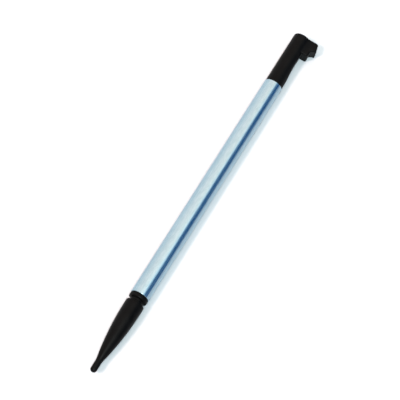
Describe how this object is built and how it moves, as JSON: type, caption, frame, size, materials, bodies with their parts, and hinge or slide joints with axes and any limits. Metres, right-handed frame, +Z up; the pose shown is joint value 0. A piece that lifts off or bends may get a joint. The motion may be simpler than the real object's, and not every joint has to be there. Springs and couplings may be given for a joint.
{
  "type": "telescopic stylus pen",
  "caption": "Slim telescopic touch-screen stylus: metal barrel, black tapered tip that pulls out on an inner tube, and a black head with a pull lip on one side.",
  "frame": {"origin": "on the table, under the middle of the closed stylus as it lies on its barrel and the corner of its pull lip", "axes": "+X along the stylus from the nib to the head, +Z up, pull lip towards -Y"},
  "size_m": [0.0858, 0.0062, 0.004],
  "materials": {
    "barrel_metal": "pale bluish satin silver, drawn lengthwise",
    "black_plastic": "black moulded plastic with a soft sheen",
    "tip_plastic": "black acetal, smooth with a soft sheen",
    "tube_steel": "polished drawn steel",
    "spool_brass": "turned brass",
    "spring_bronze": "thin rolled bronze"
  },
  "bodies": {
    "barrel": {"barrel": "barrel_metal", "head": "black_plastic", "guide_bush": "black_plastic"},
    "slider": {"friction_spring_upper": "spring_bronze", "friction_spring_lower": "spring_bronze"},
    "tip_section": {"inner_tube": "tube_steel", "tip": "tip_plastic", "rear_spool": "spool_brass"}
  },
  "joints": [
    {"name": "tip_slide", "type": "slide", "parent": "barrel", "child": "slider", "axis": [-1, 0, 0], "range_m": [0, 0.0331]},
    {"name": "tip_spin", "type": "hinge", "parent": "slider", "child": "tip_section", "pos_m": [-0.02482, 0.0011, 0.002], "axis": [1, 0, 0], "continuous": true}
  ]
}
